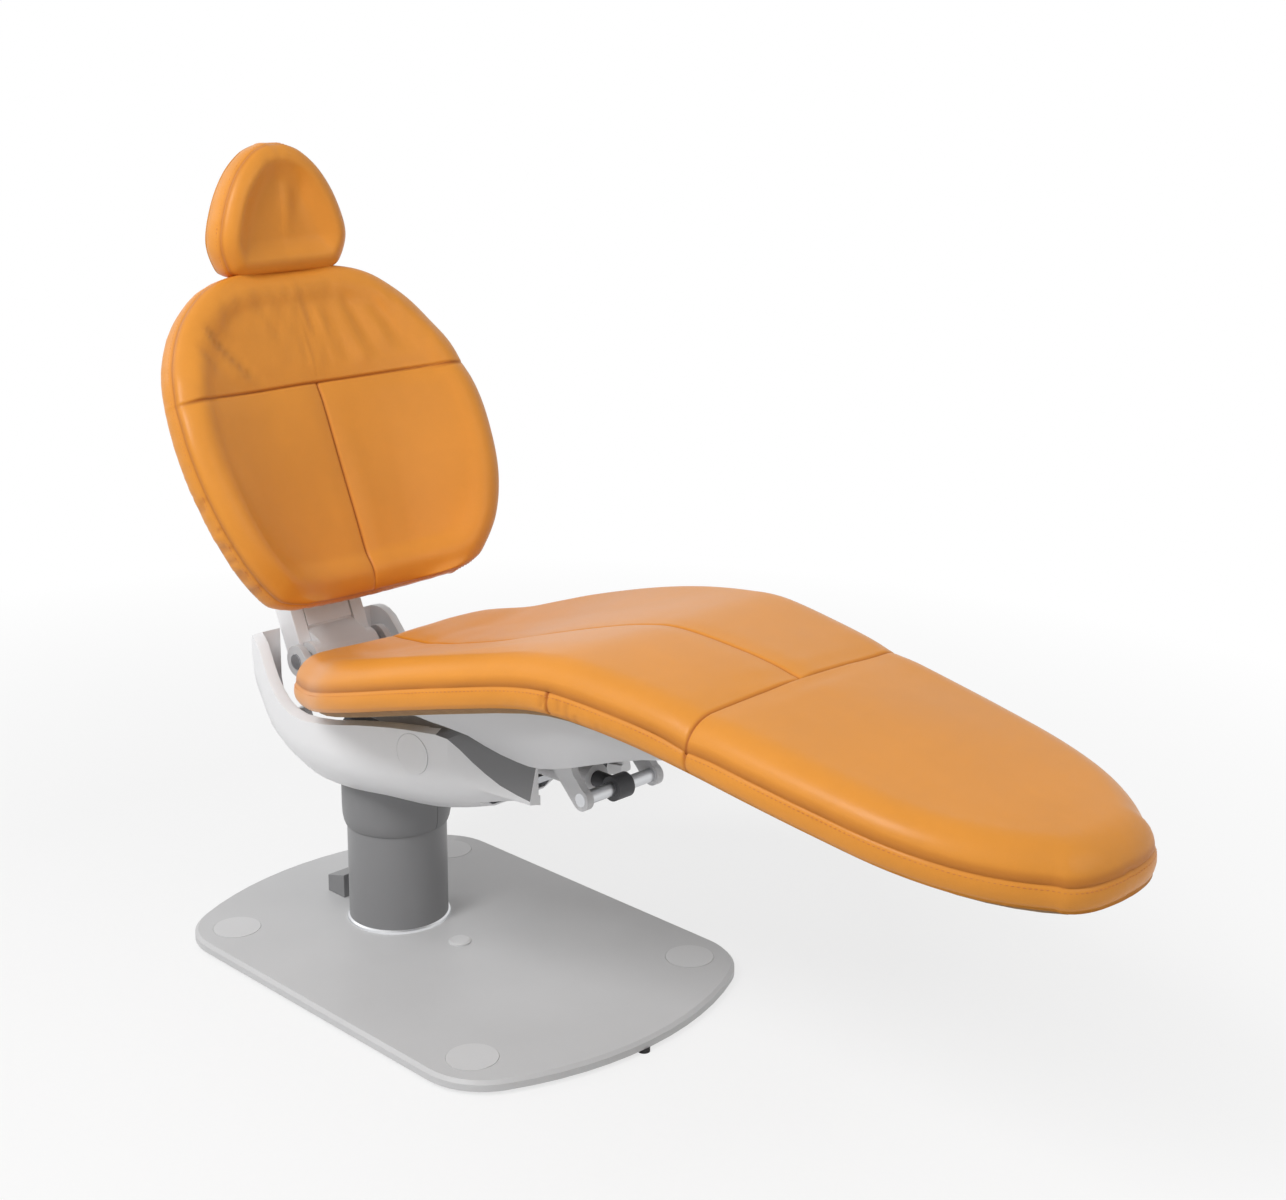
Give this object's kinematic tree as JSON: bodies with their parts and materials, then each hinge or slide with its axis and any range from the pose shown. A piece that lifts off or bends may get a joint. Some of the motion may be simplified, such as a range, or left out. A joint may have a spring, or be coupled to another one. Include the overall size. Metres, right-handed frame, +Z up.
{
  "type": "dental chair",
  "caption": "Dental patient chair: lifting column on a flat floor plate, tilting one-piece seat and leg rest, reclining back, sliding and tilting headrest.",
  "frame": {"origin": "on the lift column's axis, at the floor", "axes": "+X towards the patient's feet, +Y towards the patient's left, +Z up"},
  "size_m": [1.7607, 0.578, 1.2526],
  "materials": {
    "steel": "machined satin",
    "grey_paint": "satin powder coat",
    "white_shell": "moulded satin gloss",
    "grey_shell": "moulded satin",
    "upholstery": "smooth satin leather",
    "rubber_foot": "matt",
    "board": "plain plywood",
    "dark_plastic": "matt",
    "dark_metal": "matt black coat",
    "bright_rod": "polished"
  },
  "bodies": {
    "base": {"base_plate": "grey_paint", "anchor_caps": "grey_paint", "centre_cap": "grey_paint", "levelling_feet": "rubber_foot", "floor_pad": "rubber_foot", "cable_entry": "grey_paint", "column_ring": "steel", "column_tube": "grey_paint", "column_bush": "dark_plastic", "ram_barrel": "steel"},
    "mid_stage": {"mid_tube": "steel", "mid_bush": "dark_plastic", "ram_sleeve": "bright_rod"},
    "carriage": {"inner_column": "steel", "ram_plunger": "bright_rod", "carriage_frame": "steel", "carriage_bolts": "dark_metal", "collar_left": "grey_paint", "collar_right": "grey_paint", "housing": "white_shell", "side_caps": "white_shell", "pivot_pins": "steel", "power_unit": "dark_plastic", "control_box": "dark_plastic", "jack_body": "dark_plastic"},
    "tilt_jack": {"jack_rod": "bright_rod"},
    "seat": {"seat_frame": "grey_shell", "seat_cross": "steel", "seat_shell": "grey_shell", "seat_board": "board", "seat_cushion": "upholstery", "leg_supports": "steel", "seat_screws": "dark_metal", "lever_arms": "grey_shell", "cross_bar": "steel", "drive_eye": "dark_metal", "drive_barrel": "grey_shell", "drive_motor": "dark_plastic", "hinge_pin": "steel"},
    "drive": {"drive_rod": "bright_rod"},
    "back": {"back_arm": "white_shell", "arm_panel": "white_shell", "arm_rails": "white_shell", "back_lever": "steel", "back_shell": "white_shell", "back_board": "board", "back_cushion": "upholstery", "back_screws": "dark_metal", "glide_socket": "dark_plastic"},
    "headrest_slider": {"glide_bar": "bright_rod", "head_yoke": "white_shell", "head_pin": "steel"},
    "headrest": {"head_bracket": "steel", "head_shell": "white_shell", "head_cushion": "upholstery"},
    "lock": {"lock_lever": "dark_plastic"}
  },
  "joints": [
    {"name": "column_lift", "type": "slide", "parent": "base", "child": "carriage", "axis": [0, 0, 1], "range_m": [-0.1, 0.18]},
    {"name": "mid_stage_lift", "type": "slide", "parent": "base", "child": "mid_stage", "axis": [0, 0, 1], "range_m": [-0.05, 0.09]},
    {"name": "seat_tilt", "type": "hinge", "parent": "carriage", "child": "seat", "pos_m": [0.218, 0, 0.387], "axis": [0, 1, 0], "range_deg": [-5, 0]},
    {"name": "tilt_jack_slide", "type": "slide", "parent": "carriage", "child": "tilt_jack", "axis": [0, 0, 1], "range_m": [0, 0.0056]},
    {"name": "back_recline", "type": "hinge", "parent": "seat", "child": "back", "pos_m": [-0.14, 0, 0.435], "axis": [0, 1, 0], "range_deg": [-60, 5]},
    {"name": "drive_slide", "type": "slide", "parent": "seat", "child": "drive", "axis": [0.9999, 0, 0.0122], "range_m": [-0.0062, 0.0712]},
    {"name": "headrest_slide", "type": "slide", "parent": "back", "child": "headrest_slider", "axis": [-0.4115, 0, 0.9114], "range_m": [0, 0.12]},
    {"name": "headrest_tilt", "type": "hinge", "parent": "headrest_slider", "child": "headrest", "pos_m": [-0.3818, 0, 1.13296], "axis": [0, 1, 0], "range_deg": [-30, 0]},
    {"name": "lock_turn", "type": "hinge", "parent": "headrest_slider", "child": "lock", "pos_m": [-0.3818, 0, 1.13296], "axis": [0, 1, 0], "range_deg": [-50, 0]}
  ],
  "couplings": [
    {"joint": "mid_stage_lift", "follows": "column_lift", "ratio": 0.5},
    {"joint": "tilt_jack_slide", "follows": "seat_tilt", "m_per_rad": -0.0635},
    {"joint": "drive_slide", "follows": "back_recline", "m_per_rad": -0.0675}
  ]
}
